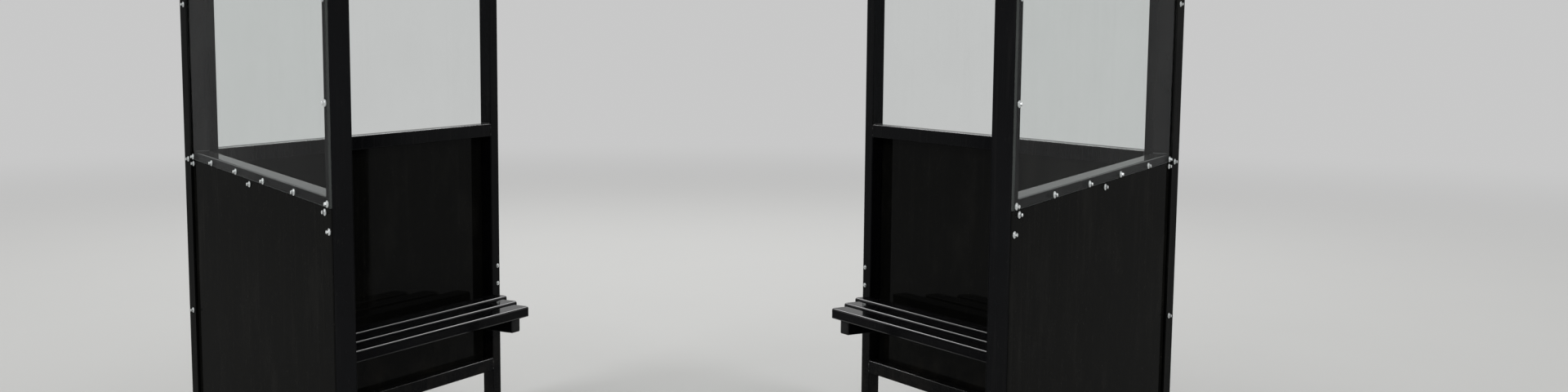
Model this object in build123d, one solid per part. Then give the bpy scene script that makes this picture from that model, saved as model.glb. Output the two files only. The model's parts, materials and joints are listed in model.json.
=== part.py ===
"""Hexagonal smoking shelter: four glazed wall frames, two open sides, two slatted benches, hipped roof.

Millimetres, +Z up. The origin is the centre of the plan on the ground. The open front faces -Y and the
open rear faces +Y. What belongs to one side of the hexagon is drawn with that side's outer face on
x = 0, facing +X and centred on y = 0, and is then put on its side.
"""
from build123d import *
import math
import os

# Square tube of the wall frames, the eaves ring and the rafters
TUBE = 50.0
TUBE_ROUND = 4.0

# Plan: the length of a wall frame over its two posts, and the width of an open side over the eaves ring.
# Every corner turns by the same angle, and the two posts of a closed corner touch at their inner edges.
WALL_LENGTH = 1500.0
OPENING_WIDTH = 1500.0
HALF_CORNER = 30.0

# Heights above the ground
PLATE_THICK = 8.0
BOTTOM_RAIL_BASE = 140.0
JOINT_HEIGHT = 1100.0
POST_TOP = 2110.0

# Wall panels on the outer faces of the frames
PANEL_INSET = 2.0
PANEL_JOINT_GAP = 2.0
LOWER_PANEL_THICK = 3.0
UPPER_SHEET_THICK = 6.0

# Folded cover over the pair of posts at each closed corner
COVER_THICK = 5.0
COVER_FOLD_RADIUS = 6.0

# Benches on the two rear walls
SEAT_HEIGHT = 450.0
SLAT_WIDTH = 72.0
SLAT_THICK = 38.0
SLAT_PITCH = 104.0
SLAT_ROUND = 8.0
REAR_SLAT_FRONT = 102.0
SLAT_END_SETBACKS = (36.0, 110.0, 176.0)
BEARER_REACH = 300.0
BEARER_FROM_POST = 246.0

# Base plates
END_PLATE_SIDE = 130.0
END_PLATE_HOLE_SPACING = 90.0
CORNER_PLATE_X = 130.0
CORNER_PLATE_Y = 200.0
CORNER_HOLES_X = 90.0
CORNER_HOLES_Y = 160.0
PLATE_HOLE_RADIUS = 7.0

# Roof: six clear sheets on hip rafters, with a folded cover on each hip and a cap at the peak
ROOF_SLOPE = 14.0
SHEET_OVERHANG = 80.0
ROOF_SHEET_THICK = 6.0
HIP_GAP = 3.0
HIP_COVER_HALF_WIDTH = 45.0
HIP_COVER_THICK = 3.0
RAFTER_SETBACK = 15.0
HUB_APOTHEM = 60.0
HUB_DEPTH = 100.0
SHEET_TIP_REACH = 45.0
HIP_COVER_START = 60.0
CAP_APOTHEM = 110.0
CAP_THICK = 3.0

TAN_HALF = math.tan(math.radians(HALF_CORNER))
COS_HALF = math.cos(math.radians(HALF_CORNER))
SIN_HALF = math.sin(math.radians(HALF_CORNER))

# A wall's side of the hexagon is longer than its frame, because the ring's mitres run on past the posts
WALL_SIDE = WALL_LENGTH + 2 * TUBE * TAN_HALF
OPEN_CORNER_X = OPENING_WIDTH / 2
CLOSED_CORNER_X = OPEN_CORNER_X + WALL_SIDE * SIN_HALF
HALF_DEPTH = WALL_SIDE * COS_HALF

# The outer corners, counter-clockwise from the closed corner on the right, and the side that each starts
CORNERS = [
    (CLOSED_CORNER_X, 0.0),
    (OPEN_CORNER_X, HALF_DEPTH),
    (-OPEN_CORNER_X, HALF_DEPTH),
    (-CLOSED_CORNER_X, 0.0),
    (-OPEN_CORNER_X, -HALF_DEPTH),
    (OPEN_CORNER_X, -HALF_DEPTH),
]
SIDES = ["rear_right", "rear", "rear_left", "front_left", "front", "front_right"]
WALLS = ["front_left", "rear_left", "front_right", "rear_right"]
CLOSED_CORNERS = {"left": 180.0, "right": 0.0}

POST_LINE = -TUBE / 2
POST_OFFSET = (WALL_LENGTH - TUBE) / 2
RAIL_LENGTH = WALL_LENGTH - 2 * TUBE
PANEL_BASE = BOTTOM_RAIL_BASE + TUBE / 2
PANEL_TOP = POST_TOP - TUBE / 2
EAVES_TOP = POST_TOP + TUBE
FAR = 2 * CLOSED_CORNER_X

# All roof faces rise by the same height from their outer faces to the centre, so that they meet on the
# lines from the centre to the corners. The front sheet's underside touches its beam's rounded edge.
SLOPE = math.radians(ROOF_SLOPE)
ROOF_RISE = HALF_DEPTH * math.tan(SLOPE)
EDGE_Z = EAVES_TOP - TUBE_ROUND * (1 - 1 / math.cos(SLOPE) + math.tan(SLOPE))
ROOF_CENTRE_Z = EDGE_Z + ROOF_RISE

# Heights straight up from the underside of the sheets
SHEET_LIFT = ROOF_SHEET_THICK / math.cos(SLOPE)
COVER_LIFT = SHEET_LIFT + HIP_COVER_THICK / math.cos(SLOPE)
CAP_LIFT = COVER_LIFT + CAP_THICK / math.cos(SLOPE)


def side_ends(side):
    """The two outer corners of a side, in counter-clockwise order."""
    index = SIDES.index(side)
    return Vector(*CORNERS[index]), Vector(*CORNERS[index - 5])


def side_plane(side):
    """A side's own level plane: origin at the middle of its outer face, x axis outwards."""
    start, end = side_ends(side)
    return Plane(origin=(start + end) / 2, x_dir=(end - start).cross(Vector(0, 0, 1)), z_dir=(0, 0, 1))


def tube(plane, length):
    """A length of square tube with rounded edges, centred on the origin, along the plane's normal."""
    return extrude(plane * RectangleRounded(TUBE, TUBE, TUBE_ROUND), length / 2, both=True)


def post(side, end):
    """A post at one end of a wall, from its base plate to the eaves beam."""
    bar = tube(Plane.XY, POST_TOP - PLATE_THICK)
    height = (POST_TOP + PLATE_THICK) / 2
    return side_plane(side) * Pos(POST_LINE, end * POST_OFFSET, height) * bar


def rail(side, base):
    """A rail between the two posts of a wall."""
    return side_plane(side) * Pos(POST_LINE, 0, base + TUBE / 2) * tube(Plane.XZ, RAIL_LENGTH)


def panel(side, low, high, thick):
    """A panel on the outer faces of a wall's posts and rails."""
    plate = Box(thick, WALL_LENGTH - 2 * PANEL_INSET, high - low)
    return side_plane(side) * Pos(thick / 2, 0, (low + high) / 2) * plate


def open_end(wall):
    """Which end of a wall, along its own y, stands at an open side of the shelter."""
    return 1 if wall in ("front_left", "rear_right") else -1


def corner_cover(angle):
    """A sheet folded round the pair of posts at a closed corner, over the ends of the upper sheets."""
    inner = UPPER_SHEET_THICK
    outer = inner + COVER_THICK
    edge = TUBE * TAN_HALF + TUBE
    plan = Polygon(
        (inner, -inner * TAN_HALF),
        (outer, -outer * TAN_HALF),
        (outer, edge),
        (inner, edge),
        align=None,
    )
    leg = Rot(0, 0, HALF_CORNER) * extrude(Pos(0, 0, PANEL_BASE) * plan, PANEL_TOP - PANEL_BASE)
    cover = leg + mirror(leg, about=Plane.XZ)
    fold = cover.edges().filter_by(Axis.Z).sort_by(Axis.X)[-1]
    return Rot(0, 0, angle) * Pos(CLOSED_CORNER_X, 0) * fillet(fold, COVER_FOLD_RADIUS)


def bench_slats(side):
    """Three slats with rounded upper edges, each shorter than the one behind it."""
    outline = Rectangle(SLAT_WIDTH, SLAT_THICK)
    outline = fillet(outline.vertices().sort_by(Axis.Y)[2:], SLAT_ROUND)
    slats = []
    for row, setback in enumerate(SLAT_END_SETBACKS):
        centre = POST_LINE - REAR_SLAT_FRONT - row * SLAT_PITCH + SLAT_WIDTH / 2
        bar = extrude(Plane.XZ * outline, POST_OFFSET - setback, both=True)
        slats.append(side_plane(side) * Pos(centre, 0, SEAT_HEIGHT - SLAT_THICK / 2) * bar)
    return Compound(slats)


def bench_bearers(side):
    """Two short tubes that stand out from the bench rail and carry the slats."""
    length = BEARER_REACH - TUBE / 2
    centre = POST_LINE - TUBE / 2 - length / 2
    height = SEAT_HEIGHT - SLAT_THICK - TUBE / 2
    bearers = []
    for end in (-1, 1):
        place = Pos(centre, end * (POST_OFFSET - BEARER_FROM_POST), height)
        bearers.append(side_plane(side) * place * tube(Plane.YZ, length))
    return Compound(bearers)


def base_plate(size_x, size_y, holes_x, holes_y):
    """A plate on the ground with a hole near each corner."""
    holes = [
        Pos(x * holes_x / 2, y * holes_y / 2) * Circle(PLATE_HOLE_RADIUS)
        for x in (-1, 1)
        for y in (-1, 1)
    ]
    return extrude(Rectangle(size_x, size_y) - holes, PLATE_THICK)


def base_plates():
    """One plate under each post at an open side and one under the pair at each closed corner."""
    single = base_plate(END_PLATE_SIDE, END_PLATE_SIDE, END_PLATE_HOLE_SPACING, END_PLATE_HOLE_SPACING)
    double = base_plate(CORNER_PLATE_X, CORNER_PLATE_Y, CORNER_HOLES_X, CORNER_HOLES_Y)
    plates = [side_plane(wall) * Pos(POST_LINE, open_end(wall) * POST_OFFSET) * single for wall in WALLS]
    pair_inset = TUBE / 2 * COS_HALF + (TUBE * TAN_HALF + TUBE / 2) * SIN_HALF
    for angle in CLOSED_CORNERS.values():
        plates.append(Rot(0, 0, angle) * Pos(CLOSED_CORNER_X - pair_inset, 0) * double)
    return Compound(plates)


def eaves_beam(side):
    """One side of the eaves ring, mitred at the corners of the hexagon."""
    start, end = side_ends(side)
    length = (end - start).length
    mitre = TUBE * TAN_HALF
    bar = Pos(POST_LINE, 0, POST_TOP + TUBE / 2) * tube(Plane.XZ, length)
    plan = Polygon(
        (0, -length / 2),
        (0, length / 2),
        (-TUBE, length / 2 - mitre),
        (-TUBE, mitre - length / 2),
        align=None,
    )
    return side_plane(side) * (bar & extrude(Pos(0, 0, POST_TOP) * plan, TUBE))


def hexagon(half_depth):
    """The shelter's plan, shrunk or grown about its centre to the given half depth."""
    scale = half_depth / HALF_DEPTH
    return Polygon(*[(x * scale, y * scale) for x, y in CORNERS], align=None)


def roof_plane(side, lift):
    """The plane of the roof over one side, raised straight up by lift from the underside of the sheets."""
    outward = side_plane(side).x_dir
    fall = ROOF_RISE / side_plane(side).origin.dot(outward)
    return Plane(origin=(0, 0, ROOF_CENTRE_Z + lift), z_dir=outward * fall + Vector(0, 0, 1))


def under_roof(shape, sides, lift):
    """What is left of the shape below the roof over the given sides."""
    for side in sides:
        shape = split(shape, bisect_by=roof_plane(side, lift), keep=Keep.BOTTOM)
    return shape


def roof_layer(plan, side, low, high):
    """A plate on the roof over one side, from low to high above the sheets' underside."""
    block = extrude(Pos(0, 0, EDGE_Z - ROOF_RISE) * plan, FAR)
    block = under_roof(block, [side], high)
    return split(block, bisect_by=roof_plane(side, low), keep=Keep.TOP)


def roof_plan(side):
    """The plan of the roof over one side, from the centre to the sheets' outer edge."""
    reach = 1 + SHEET_OVERHANG / HALF_DEPTH
    start, end = side_ends(side)
    return Polygon((0, 0), (start.X * reach, start.Y * reach), (end.X * reach, end.Y * reach), align=None)


def hip_angle(corner):
    """The direction of a hip in plan, from the centre to a corner."""
    x, y = CORNERS[corner]
    return math.degrees(math.atan2(y, x))


def hip_strip(corner, start, half_width):
    """A straight strip of plan along one hip, from a distance out of the centre to beyond the roof."""
    return Rot(0, 0, hip_angle(corner)) * Pos(start + FAR / 2, 0) * Rectangle(FAR, 2 * half_width)


def hip_rafter(corner):
    """A tube under one hip: upper face cut to both roof faces, lower end notched over the ring."""
    reach = math.hypot(*CORNERS[corner])
    depth = TUBE / math.cos(math.atan(ROOF_RISE / reach))
    outline = Polygon(
        (0, ROOF_CENTRE_Z),
        (0, ROOF_CENTRE_Z - depth),
        (reach, EDGE_Z - depth),
        (reach, EDGE_Z),
        align=None,
    )
    bar = Rot(0, 0, hip_angle(corner)) * extrude(Plane.XZ * outline, TUBE / 2, both=True)
    sides = (SIDES[corner - 1], SIDES[corner])
    bar = under_roof(bar, sides, 0)
    bar = bar & extrude(hexagon(HALF_DEPTH - RAFTER_SETBACK), FAR)
    return bar - eaves_beam(sides[0]) - eaves_beam(sides[1]) - hub_block()


def hub_block():
    """The six-sided column at the centre that the rafters' upper ends butt against."""
    outline = RegularPolygon(HUB_APOTHEM, 6, major_radius=False, rotation=HALF_CORNER)
    return extrude(Pos(0, 0, ROOF_CENTRE_Z - HUB_DEPTH) * outline, 2 * HUB_DEPTH)


def roof_hub():
    """The hub of the rafters, with its top cut to the roof faces."""
    return under_roof(hub_block(), SIDES, 0)


def roof_sheet(side):
    """One triangular sheet of the roof, held back from the hips, with its tip cut off under the cap."""
    corner = SIDES.index(side)
    plan = roof_plan(side) - hexagon(SHEET_TIP_REACH)
    plan = plan - hip_strip(corner, 0, HIP_GAP) - hip_strip(corner - 5, 0, HIP_GAP)
    return roof_layer(plan, side, 0, SHEET_LIFT)


def hip_cover(corner):
    """A strip folded over one hip, on top of the two sheets that meet there."""
    strip = hip_strip(corner, HIP_COVER_START, HIP_COVER_HALF_WIDTH)
    halves = [
        roof_layer(strip & roof_plan(side), side, SHEET_LIFT, COVER_LIFT)
        for side in (SIDES[corner - 1], SIDES[corner])
    ]
    return halves[0] + halves[1]


def roof_cap():
    """A six-sided cap over the upper ends of the hip covers."""
    outline = RegularPolygon(CAP_APOTHEM, 6, major_radius=False, rotation=HALF_CORNER)
    block = extrude(Pos(0, 0, EDGE_Z) * outline, FAR)
    return under_roof(block, SIDES, CAP_LIFT) - under_roof(block, SIDES, COVER_LIFT)


nodes = {}
for wall in WALLS:
    nodes[f"post_{wall}_end"] = post(wall, open_end(wall))
    nodes[f"post_{wall}_corner"] = post(wall, -open_end(wall))
    nodes[f"rail_bottom_{wall}"] = rail(wall, BOTTOM_RAIL_BASE)
    nodes[f"rail_middle_{wall}"] = rail(wall, JOINT_HEIGHT - TUBE / 2)
    nodes[f"rail_top_{wall}"] = rail(wall, POST_TOP - TUBE)
    joint_low = JOINT_HEIGHT - PANEL_JOINT_GAP / 2
    joint_high = JOINT_HEIGHT + PANEL_JOINT_GAP / 2
    nodes[f"panel_lower_{wall}"] = panel(wall, PANEL_BASE, joint_low, LOWER_PANEL_THICK)
    nodes[f"sheet_upper_{wall}"] = panel(wall, joint_high, PANEL_TOP, UPPER_SHEET_THICK)

for name, angle in CLOSED_CORNERS.items():
    nodes[f"corner_cover_{name}"] = corner_cover(angle)
    nodes[f"bench_slats_{name}"] = bench_slats(f"rear_{name}")
    nodes[f"bench_bearers_{name}"] = bench_bearers(f"rear_{name}")
    nodes[f"bench_rail_{name}"] = rail(f"rear_{name}", SEAT_HEIGHT - SLAT_THICK - TUBE)

for side in SIDES:
    nodes[f"eaves_beam_{side}"] = eaves_beam(side)

hips = range(len(CORNERS))
nodes["hip_rafters"] = Compound([hip_rafter(corner) for corner in hips])
nodes["roof_hub"] = roof_hub()
nodes["roof_sheets"] = Compound([roof_sheet(side) for side in SIDES])
nodes["hip_covers"] = Compound([hip_cover(corner) for corner in hips])
nodes["roof_cap"] = roof_cap()
nodes["base_plates"] = base_plates()

os.makedirs("parts", exist_ok=True)
for node, shape in nodes.items():
    export_step(shape, f"parts/{node}.step")
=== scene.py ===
"""Hexagonal smoking shelter: the finishes of its frames, panels, sheets and benches, and its fixings.

Metres, +Z up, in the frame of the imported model. A wall is read from its open end: "along" runs to the
closed corner, "out" is out of the wall's outer face, and "up" is height above the ground.
"""

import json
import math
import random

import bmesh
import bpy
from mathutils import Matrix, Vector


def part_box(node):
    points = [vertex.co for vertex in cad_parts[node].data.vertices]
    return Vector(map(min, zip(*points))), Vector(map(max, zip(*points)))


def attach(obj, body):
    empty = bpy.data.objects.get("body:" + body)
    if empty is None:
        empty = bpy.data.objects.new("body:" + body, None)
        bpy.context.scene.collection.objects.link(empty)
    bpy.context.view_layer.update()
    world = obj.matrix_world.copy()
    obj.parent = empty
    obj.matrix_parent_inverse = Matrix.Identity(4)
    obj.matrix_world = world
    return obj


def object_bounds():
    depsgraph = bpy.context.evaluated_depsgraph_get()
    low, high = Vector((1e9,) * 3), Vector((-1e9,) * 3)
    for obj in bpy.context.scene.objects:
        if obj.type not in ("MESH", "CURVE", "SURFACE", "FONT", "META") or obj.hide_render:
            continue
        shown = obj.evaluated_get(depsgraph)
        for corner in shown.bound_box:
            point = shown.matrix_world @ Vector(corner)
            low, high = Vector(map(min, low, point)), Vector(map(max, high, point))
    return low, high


bl_info = {
    "name": "Smoking shelter",
    "version": (1, 0, 0),
    "blender": (4, 5, 0),
    "location": "3D View > Sidebar > Shelter",
    "description": "Finishes, screws, bolts, welds and caps of a hexagonal smoking shelter",
    "category": "Object",
}

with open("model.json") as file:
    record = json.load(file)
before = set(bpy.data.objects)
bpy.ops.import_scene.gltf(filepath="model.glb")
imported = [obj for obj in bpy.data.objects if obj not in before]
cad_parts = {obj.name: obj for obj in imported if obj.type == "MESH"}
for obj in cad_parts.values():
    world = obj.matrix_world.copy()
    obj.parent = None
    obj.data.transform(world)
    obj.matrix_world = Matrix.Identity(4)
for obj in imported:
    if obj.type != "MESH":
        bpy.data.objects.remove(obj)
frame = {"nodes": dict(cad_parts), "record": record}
CAD_BOX = [list(corner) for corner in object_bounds()]

UP = Vector((0.0, 0.0, 1.0))
WALLS = ("front_left", "rear_left", "front_right", "rear_right")
HANDS = ("left", "right")
MM = 0.001

# Tangent and cosine of half the turn at a corner of a hexagon
TAN_HALF = math.tan(math.radians(30.0))
COS_HALF = math.cos(math.radians(30.0))

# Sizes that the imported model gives
BEAM_LOW, BEAM_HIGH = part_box("eaves_beam_front")
TUBE = BEAM_HIGH[2] - BEAM_LOW[2]
POST_TOP = BEAM_LOW[2]
OPEN_X = BEAM_HIGH[0]
HALF_DEPTH = -BEAM_LOW[1]
CLOSED_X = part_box("eaves_beam_rear_right")[1][0]
PANEL_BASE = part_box("panel_lower_front_left")[0][2]
JOINT_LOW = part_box("panel_lower_front_left")[1][2]
JOINT_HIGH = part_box("sheet_upper_front_left")[0][2]
PANEL_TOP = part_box("sheet_upper_front_left")[1][2]
PLATE_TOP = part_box("base_plates")[1][2]
SLAT_BASE, SEAT_HEIGHT = (corner[2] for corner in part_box("bench_slats_left"))
BENCH_RAIL_BASE, BENCH_RAIL_TOP = (corner[2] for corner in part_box("bench_rail_left"))
RAIL_BASES = [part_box(f"rail_{level}_front_left")[0][2] for level in ("bottom", "middle", "top")]

# Sizes that a box doesn't give, and places of the bench pieces along a rear wall or out of it
CORNER_ROUND = 0.004
TUBE_FLAT = TUBE - 2.0 * CORNER_ROUND
BEARER_PLACES = (0.271, 1.229)
BEARER_END = -0.325
SLAT_MIDDLES = (-0.091, -0.195, -0.299)
SLAT_HALF_LENGTHS = (0.689, 0.615, 0.549)
SLAT_WIDTH = 0.072
SLAT_THICK = SEAT_HEIGHT - SLAT_BASE
SLAT_ROUND = 0.008


class Side:
    """One side of the hexagon, from one corner to the next, and places on it."""

    def __init__(self, start, end):
        self.along = (end - start).normalized()
        self.outward = self.along.cross(UP)
        if self.outward.dot(start + end) < 0.0:
            self.outward.negate()
        self.start = start + self.along * TUBE * TAN_HALF
        self.length = (end - start).length - 2.0 * TUBE * TAN_HALF

    def at(self, along, out, up):
        """A point by its distance along the side, out of its outer face and above the ground."""
        return self.start + self.along * along + self.outward * out + UP * up


def wall_side(wall):
    """The side that a wall frame stands on, from its open end to its closed corner."""
    hand = -1.0 if wall.endswith("left") else 1.0
    depth = -1.0 if wall.startswith("front") else 1.0
    return Side(Vector((hand * OPEN_X, depth * HALF_DEPTH, 0.0)), Vector((hand * CLOSED_X, 0.0, 0.0)))


def corners():
    """The outer corners of the hexagon, counter-clockwise from the closed corner on the right."""
    front_and_rear = [(OPEN_X, HALF_DEPTH), (-OPEN_X, HALF_DEPTH)]
    plan = [(CLOSED_X, 0.0), *front_and_rear, (-CLOSED_X, 0.0)]
    plan += [(-x, -y) for x, y in front_and_rear]
    return [Vector((x, y, 0.0)) for x, y in plan]


def standing(place, normal, turn=0.0):
    """A matrix at a place, with its z axis along the normal, turned about it by an angle."""
    raised = normal.normalized().to_track_quat("Z", "Y").to_matrix().to_4x4()
    return Matrix.Translation(place) @ raised @ Matrix.Rotation(turn, 4, "Z")


def seat(node, start, direction, turn=0.0):
    """Where a line first meets a CAD node: a matrix whose z axis stands out of the surface there.

    The turn lets each fixing stand its own way, as tightened screws do.
    """
    hit, place, normal, _ = frame["nodes"][node].ray_cast(start, direction)
    if not hit:
        raise RuntimeError(f"nothing of {node} lies under the fixing at {tuple(start)}")
    return standing(place, normal, turn)


# Materials

# How clear and black sheet plastic bends light, and the colour of a clean reflection
SHEET_IOR = 1.45
MIRROR_TONE = (0.95, 0.96, 0.96, 1.0)

# Roughness of the moulded caps, and how many grains they have to the metre
CAP_ROUGHNESS, CAP_GRAIN = 0.42, 800.0

# The least share of a normal along an axis, X for the walls and Z for the roof, on a sheet's two faces
WALL_FACE_LEVEL = 0.75
ROOF_FACE_LEVEL = 0.6

PRINCIPLED_SOCKETS = {
    "colour": "Base Color",
    "metallic": "Metallic",
    "roughness": "Roughness",
    "specular": "Specular IOR Level",
    "coat": "Coat Weight",
    "coat_roughness": "Coat Roughness",
    "normal": "Normal",
}


class Field:
    """A value over the surface. Arithmetic on it adds Math nodes."""

    def __init__(self, nodes, socket):
        self.nodes = nodes
        self.socket = socket

    def _math(self, operation, *values):
        sockets = dict(enumerate(values))
        return self.nodes.node("ShaderNodeMath", {"operation": operation}, sockets, 0)

    def __add__(self, other):
        return self._math("ADD", self, other)

    def __radd__(self, other):
        return self._math("ADD", other, self)

    def __sub__(self, other):
        return self._math("SUBTRACT", self, other)

    def __rsub__(self, other):
        return self._math("SUBTRACT", other, self)

    def __mul__(self, other):
        return self._math("MULTIPLY", self, other)

    def __rmul__(self, other):
        return self._math("MULTIPLY", other, self)

    def __truediv__(self, other):
        return self._math("DIVIDE", self, other)

    def __rtruediv__(self, other):
        return self._math("DIVIDE", other, self)

    def __abs__(self):
        return self._math("ABSOLUTE", self)

    def above(self, low, high):
        """0 below low, 1 above high, and a smooth rise between them."""
        settings = {"interpolation_type": "SMOOTHSTEP"}
        return self.nodes.node("ShaderNodeMapRange", settings, {0: self, 1: low, 2: high}, 0)

    def below(self, low, high):
        """1 below low, 0 above high, and a smooth fall between them."""
        return 1.0 - self.above(low, high)


class Nodes:
    """The nodes of a material or of the world."""

    def __init__(self, owner):
        owner.use_nodes = True
        self.tree = owner.node_tree
        self.tree.nodes.clear()

    def node(self, kind, settings, sockets, output):
        """Adds a node, with its settings and then its sockets, and gives one of its outputs."""
        node = self.tree.nodes.new(kind)
        for name, value in settings.items():
            setattr(node, name, value)
        for key, value in sockets.items():
            if isinstance(value, Field):
                self.tree.links.new(value.socket, node.inputs[key])
            else:
                node.inputs[key].default_value = value
        return Field(self, node.outputs[output])

    def close(self, shader, kind="ShaderNodeOutputMaterial"):
        """Ends the nodes with a shader."""
        end = self.tree.nodes.new(kind)
        self.tree.links.new(shader.socket, end.inputs["Surface"])


class Finish(Nodes):
    """A material and the nodes that it is made of."""

    def __init__(self, name):
        self.material = bpy.data.materials.new(name)
        super().__init__(self.material)
        self.place = self.node("ShaderNodeTexCoord", {}, {}, "Object")
        self.normal = self.node("ShaderNodeNewGeometry", {}, {}, "True Normal")

    def axis(self, vector, name):
        """The X, Y or Z of a vector."""
        return self.node("ShaderNodeSeparateXYZ", {}, {0: vector}, name)

    def spread(self, stretch, shift=(0.0, 0.0, 0.0), turn=(0.0, 0.0, 0.0)):
        """Object coordinates, scaled along each axis, shifted and turned."""
        sockets = {"Vector": self.place, "Location": shift, "Rotation": turn, "Scale": stretch}
        return self.node("ShaderNodeMapping", {}, sockets, "Vector")

    def noise(self, scale, detail=3.0, roughness=0.55, place=None):
        """Noise whose features are about 1/scale metres wide."""
        where = place or self.place
        sockets = {"Vector": where, "Scale": scale, "Detail": detail, "Roughness": roughness}
        return self.node("ShaderNodeTexNoise", {}, sockets, 0)

    def cells(self, scale, feature="F1", place=None):
        """The distance to the nearest point, or edge, of a pattern of cells 1/scale metres wide."""
        sockets = {"Vector": place or self.place, "Scale": scale}
        return self.node("ShaderNodeTexVoronoi", {"feature": feature}, sockets, "Distance")

    def blend(self, factor, first, second):
        """The first colour where the factor is 0 and the second where it is 1."""
        settings = {"data_type": "RGBA"}
        sockets = {0: factor, 6: colour4(first), 7: colour4(second)}
        return self.node("ShaderNodeMix", settings, sockets, 2)

    def bump(self, height, depth, strength=1.0, under=None):
        """A normal raised by a height from 0 to 1 that stands for depth metres."""
        sockets = {"Height": height, "Distance": depth, "Strength": strength}
        if under:
            sockets["Normal"] = under
        return self.node("ShaderNodeBump", {}, sockets, "Normal")

    def shader(self, **sockets):
        """A Principled shader. Names are its sockets in lower case with underscores."""
        named = {PRINCIPLED_SOCKETS[name]: value for name, value in sockets.items()}
        return self.node("ShaderNodeBsdfPrincipled", {}, named, 0)

    def glossed(self, under, rough, surface, face_on, glance, share=1.0):
        """A shader under a faint mirror, with its share face on and what a low angle adds to it."""
        low_angle = self.node("ShaderNodeFresnel", {}, {"IOR": SHEET_IOR}, 0)
        polish = self.shader(colour=MIRROR_TONE, metallic=1.0, roughness=rough, normal=surface)
        seen = (face_on + low_angle * glance) * share
        return self.node("ShaderNodeMixShader", {}, {0: seen, 1: under, 2: polish}, 0)

    def finished(self, shader):
        """Ends the material with a shader and gives the material."""
        self.close(shader)
        return self.material


def colour4(colour):
    """A colour with an alpha of 1, or a field as it is."""
    return colour if isinstance(colour, Field) else (*colour[:3], 1.0)


def upward(finish):
    """1 on faces that look up, where dust lies, and 0 on walls and undersides."""
    return finish.axis(finish.normal, "Z").above(0.55, 0.95)


def height(finish):
    """Height above the ground in metres."""
    return finish.axis(finish.place, "Z")


def splashes(finish):
    """Dried splashes of soil: thick near the ground and gone at knee height."""
    patches = finish.noise(9.0, 5.0, 0.6)
    drops = finish.cells(210.0).below(0.16, 0.34) * finish.noise(24.0, 2.0).above(0.45, 0.62)
    low = height(finish).below(0.03, 0.42)
    return low * (patches.above(0.42, 0.75) * 0.55 + drops * 0.5)


def streaks(finish, width):
    """Long upright runs that rain leaves on a surface."""
    place = finish.spread((1.0, 1.0, 0.035))
    return finish.noise(1.0 / width, 3.0, 0.6, place).above(0.5, 0.78)


def scratches(finish, scale, turn):
    """Hair-thin broken lines in one direction."""
    place = finish.spread((1.0, 1.0, 0.05), turn=turn)
    lines = finish.cells(scale, "DISTANCE_TO_EDGE", place).below(0.004, 0.02)
    return lines * finish.noise(scale * 0.35, 2.0).above(0.58, 0.66)


def painted_tube(name, paint, soil, dust, gloss, face_on, glance, edge_gloss):
    """Satin black powder coat: orange peel, brighter edges, dust on top, runs, scuffs and splashes."""
    finish = Finish(name)
    cloud = finish.noise(3.2, 4.0, 0.6)
    dirt = splashes(finish)
    film = upward(finish) * finish.noise(26.0, 5.0, 0.65).above(0.3, 0.72)
    runs = streaks(finish, 0.012)
    scuffs = scratches(finish, 150.0, (0.5, 0.2, 0.9)) * 0.7
    tone = finish.blend(cloud.above(0.35, 0.7), paint, [part * 1.5 for part in paint])
    tone = finish.blend(runs * 0.012 + film * 0.05 + scuffs * 0.05, tone, dust)
    tone = finish.blend(dirt * 0.16, tone, soil)
    lean = finish.axis(finish.normal, "Z")
    shine = (lean.above(0.2, 0.5) - lean.above(0.85, 0.98) * 0.32) * height(finish).above(0.01, 0.14)
    peel = finish.noise(520.0, 2.0, 0.5)
    rough = gloss + cloud * 0.08 + runs * 0.05 + film * 0.06 + dirt * 0.16 + scuffs * 0.1
    surface = finish.bump(peel, 0.0002, 0.2)
    surface = finish.bump(dirt + film * 0.2, 0.0003, 0.4, surface)
    under = finish.shader(
        colour=tone, roughness=rough, specular=0.0, coat=shine, coat_roughness=0.06, normal=surface
    )
    edge = lean.above(0.2, 0.5) - lean.above(0.9, 0.98)
    return finish.finished(finish.glossed(under, rough, surface, face_on + edge * edge_gloss, glance))


def gloss_sheet(name, black, soil, dust, gloss, face_on, glance):
    """Deep black high-gloss sheet: black under a faint mirror, whose share rises a little at a glance."""
    finish = Finish(name)
    wide = finish.noise(2.1, 2.0, 0.45)
    smears = finish.noise(6.5, 5.0, 0.62, finish.spread((1.0, 1.0, 0.55))).above(0.48, 0.72)
    spots = finish.cells(95.0).below(0.10, 0.22) * finish.noise(14.0, 2.0).above(0.5, 0.64)
    runs = streaks(finish, 0.02) * height(finish).above(0.16, 1.1)
    hairs = scratches(finish, 110.0, (0.2, 0.9, 0.4)) + scratches(finish, 140.0, (1.1, 0.1, 0.2))
    dirt = splashes(finish)
    tone = finish.blend(smears * 0.012 + runs * 0.01 + spots * 0.03 + hairs * 0.03, black, dust)
    tone = finish.blend(dirt * 0.2, tone, soil)
    rough = gloss + smears * 0.04 + runs * 0.05 + spots * 0.1 + hairs * 0.1 + dirt * 0.3
    surface = finish.bump(wide, 0.006, 0.04)
    surface = finish.bump(finish.noise(38.0, 2.0, 0.4), 0.0001, 0.15, surface)
    surface = finish.bump(dirt + spots * 0.3, 0.0003, 0.5, surface)
    under = finish.shader(colour=tone, roughness=rough, specular=0.0, normal=surface)
    clean = 1.0 - dirt.above(0.1, 0.8)
    return finish.finished(finish.glossed(under, rough, surface, face_on, glance, clean))


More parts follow.
